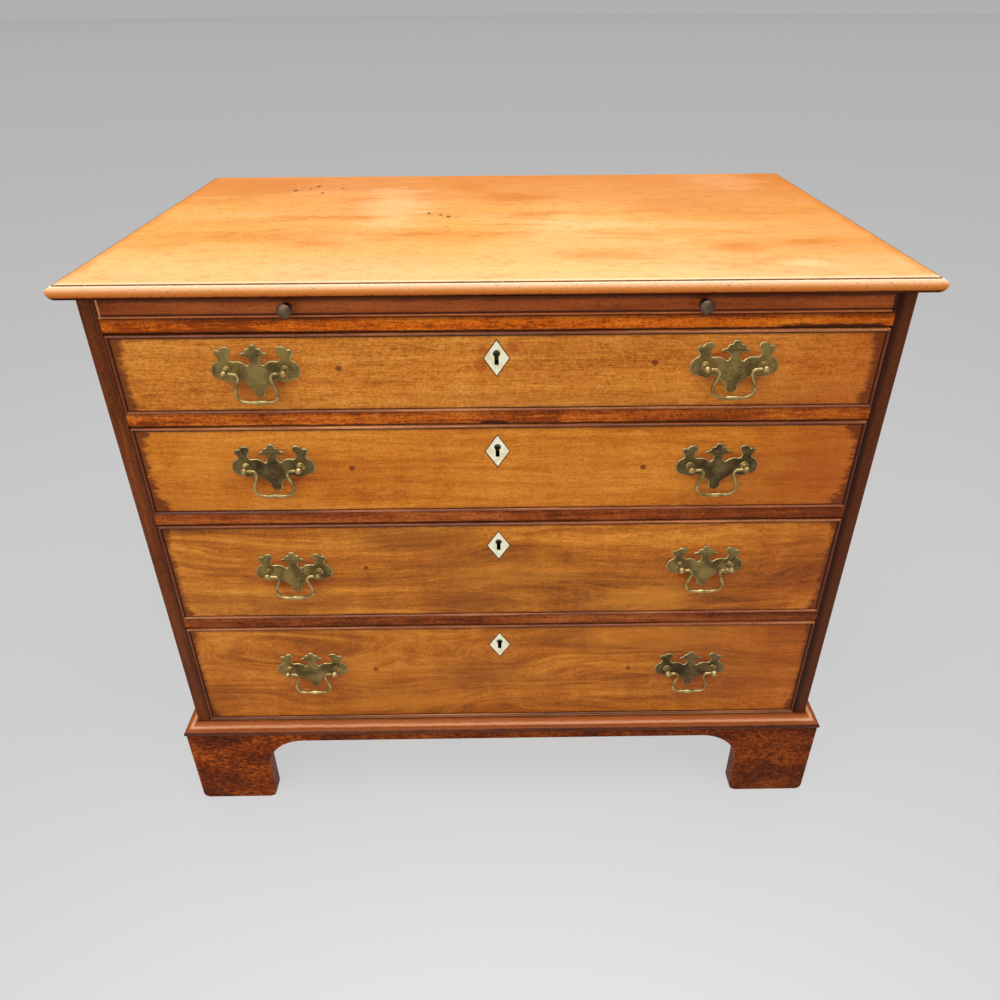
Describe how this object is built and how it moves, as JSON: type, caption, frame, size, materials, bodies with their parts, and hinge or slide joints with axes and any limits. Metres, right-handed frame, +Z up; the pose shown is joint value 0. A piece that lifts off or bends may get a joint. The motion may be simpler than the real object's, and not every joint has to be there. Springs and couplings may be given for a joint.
{
  "type": "bachelors chest",
  "caption": "Low mahogany chest of graduated cock-beaded drawers with brass swan-neck handles under a pull-out brushing slide, on a moulded plinth with bracket feet.",
  "frame": {"origin": "on the floor under the middle of the whole chest, halfway between the front and back edges of the top board", "axes": "+X to the viewer's right when facing the drawers, -Y out of the drawer fronts, +Y to the back, +Z up"},
  "size_m": [0.902, 0.529, 0.794],
  "materials": {
    "mahogany_top": "French polished, glossy, golden",
    "mahogany_front": "French polished, worn, figured",
    "mahogany_case": "polished, reddish",
    "mahogany_moulding": "polished",
    "mahogany_plinth": "polished, mottled and dark",
    "oak": "bare, aged",
    "pine": "bare, aged",
    "brass_plate": "aged, dull",
    "brass_bright": "hand worn, bright",
    "bronze": "dull brown bronze",
    "bone": "cream, smooth",
    "steel": "old, filed"
  },
  "bodies": {
    "carcass": {"top_board": "mahogany_top", "side_left": "mahogany_case", "side_right": "mahogany_case", "bottom_board": "pine", "back_boards": "pine", "front_rails": "mahogany_case", "dust_boards": "pine", "drawer_runners": "oak", "drawer_stops": "oak", "base_moulding": "mahogany_moulding", "plinth_front": "mahogany_plinth", "plinth_sides": "mahogany_plinth", "foot_blocks": "pine"},
    "slide": {"slide_panel": "mahogany_front", "slide_edges": "mahogany_front", "slide_knobs": "bronze"},
    "drawer_1": {"drawer_1_front": "mahogany_front", "drawer_1_sides": "oak", "drawer_1_bottom": "oak", "drawer_1_cock_beads": "mahogany_case", "drawer_1_keyhole_plate": "bone", "drawer_1_lock": "brass_plate", "drawer_1_handle_plates": "brass_plate", "drawer_1_handle_posts": "brass_bright"},
    "bail_left_1": {"drawer_1_bail_left": "brass_bright"},
    "bail_right_1": {"drawer_1_bail_right": "brass_bright"},
    "lock_bolt_1": {"drawer_1_lock_bolt": "steel"},
    "drawer_2": {"drawer_2_front": "mahogany_front", "drawer_2_sides": "oak", "drawer_2_bottom": "oak", "drawer_2_cock_beads": "mahogany_case", "drawer_2_keyhole_plate": "bone", "drawer_2_lock": "brass_plate", "drawer_2_handle_plates": "brass_plate", "drawer_2_handle_posts": "brass_bright"},
    "bail_left_2": {"drawer_2_bail_left": "brass_bright"},
    "bail_right_2": {"drawer_2_bail_right": "brass_bright"},
    "lock_bolt_2": {"drawer_2_lock_bolt": "steel"},
    "drawer_3": {"drawer_3_front": "mahogany_front", "drawer_3_sides": "oak", "drawer_3_bottom": "oak", "drawer_3_cock_beads": "mahogany_case", "drawer_3_keyhole_plate": "bone", "drawer_3_lock": "brass_plate", "drawer_3_handle_plates": "brass_plate", "drawer_3_handle_posts": "brass_bright"},
    "bail_left_3": {"drawer_3_bail_left": "brass_bright"},
    "bail_right_3": {"drawer_3_bail_right": "brass_bright"},
    "lock_bolt_3": {"drawer_3_lock_bolt": "steel"},
    "drawer_4": {"drawer_4_front": "mahogany_front", "drawer_4_sides": "oak", "drawer_4_bottom": "oak", "drawer_4_cock_beads": "mahogany_case", "drawer_4_keyhole_plate": "bone", "drawer_4_lock": "brass_plate", "drawer_4_handle_plates": "brass_plate", "drawer_4_handle_posts": "brass_bright"},
    "bail_left_4": {"drawer_4_bail_left": "brass_bright"},
    "bail_right_4": {"drawer_4_bail_right": "brass_bright"},
    "lock_bolt_4": {"drawer_4_lock_bolt": "steel"}
  },
  "joints": [
    {"name": "slide_pull", "type": "slide", "parent": "carcass", "child": "slide", "axis": [0, -1, 0], "range_m": [0, 0.3]},
    {"name": "drawer_1_pull", "type": "slide", "parent": "carcass", "child": "drawer_1", "axis": [0, -1, 0], "range_m": [0, 0.36]},
    {"name": "bail_left_1_swing", "type": "hinge", "parent": "drawer_1", "child": "bail_left_1", "pos_m": [-0.261, -0.2585, 0.6948], "axis": [-1, 0, 0], "range_deg": [-10, 190]},
    {"name": "bail_right_1_swing", "type": "hinge", "parent": "drawer_1", "child": "bail_right_1", "pos_m": [0.2527, -0.2585, 0.6948], "axis": [-1, 0, 0], "range_deg": [-10, 190]},
    {"name": "lock_bolt_1_throw", "type": "slide", "parent": "drawer_1", "child": "lock_bolt_1", "axis": [0, 0, 1], "range_m": [0, 0.008]},
    {"name": "drawer_2_pull", "type": "slide", "parent": "carcass", "child": "drawer_2", "axis": [0, -1, 0], "range_m": [0, 0.36]},
    {"name": "bail_left_2_swing", "type": "hinge", "parent": "drawer_2", "child": "bail_left_2", "pos_m": [-0.2607, -0.2585, 0.5729], "axis": [-1, 0, 0], "range_deg": [-10, 190]},
    {"name": "bail_right_2_swing", "type": "hinge", "parent": "drawer_2", "child": "bail_right_2", "pos_m": [0.2506, -0.2585, 0.568], "axis": [-1, 0, 0], "range_deg": [-10, 190]},
    {"name": "lock_bolt_2_throw", "type": "slide", "parent": "drawer_2", "child": "lock_bolt_2", "axis": [0, 0, 1], "range_m": [0, 0.008]},
    {"name": "drawer_3_pull", "type": "slide", "parent": "carcass", "child": "drawer_3", "axis": [0, -1, 0], "range_m": [0, 0.36]},
    {"name": "bail_left_3_swing", "type": "hinge", "parent": "drawer_3", "child": "bail_left_3", "pos_m": [-0.2583, -0.2585, 0.4186], "axis": [-1, 0, 0], "range_deg": [-10, 190]},
    {"name": "bail_right_3_swing", "type": "hinge", "parent": "drawer_3", "child": "bail_right_3", "pos_m": [0.2544, -0.2585, 0.4213], "axis": [-1, 0, 0], "range_deg": [-10, 190]},
    {"name": "lock_bolt_3_throw", "type": "slide", "parent": "drawer_3", "child": "lock_bolt_3", "axis": [0, 0, 1], "range_m": [0, 0.008]},
    {"name": "drawer_4_pull", "type": "slide", "parent": "carcass", "child": "drawer_4", "axis": [0, -1, 0], "range_m": [0, 0.36]},
    {"name": "bail_left_4_swing", "type": "hinge", "parent": "drawer_4", "child": "bail_left_4", "pos_m": [-0.2567, -0.2585, 0.2491], "axis": [-1, 0, 0], "range_deg": [-10, 190]},
    {"name": "bail_right_4_swing", "type": "hinge", "parent": "drawer_4", "child": "bail_right_4", "pos_m": [0.2558, -0.2585, 0.2423], "axis": [-1, 0, 0], "range_deg": [-10, 190]},
    {"name": "lock_bolt_4_throw", "type": "slide", "parent": "drawer_4", "child": "lock_bolt_4", "axis": [0, 0, 1], "range_m": [0, 0.008]}
  ]
}
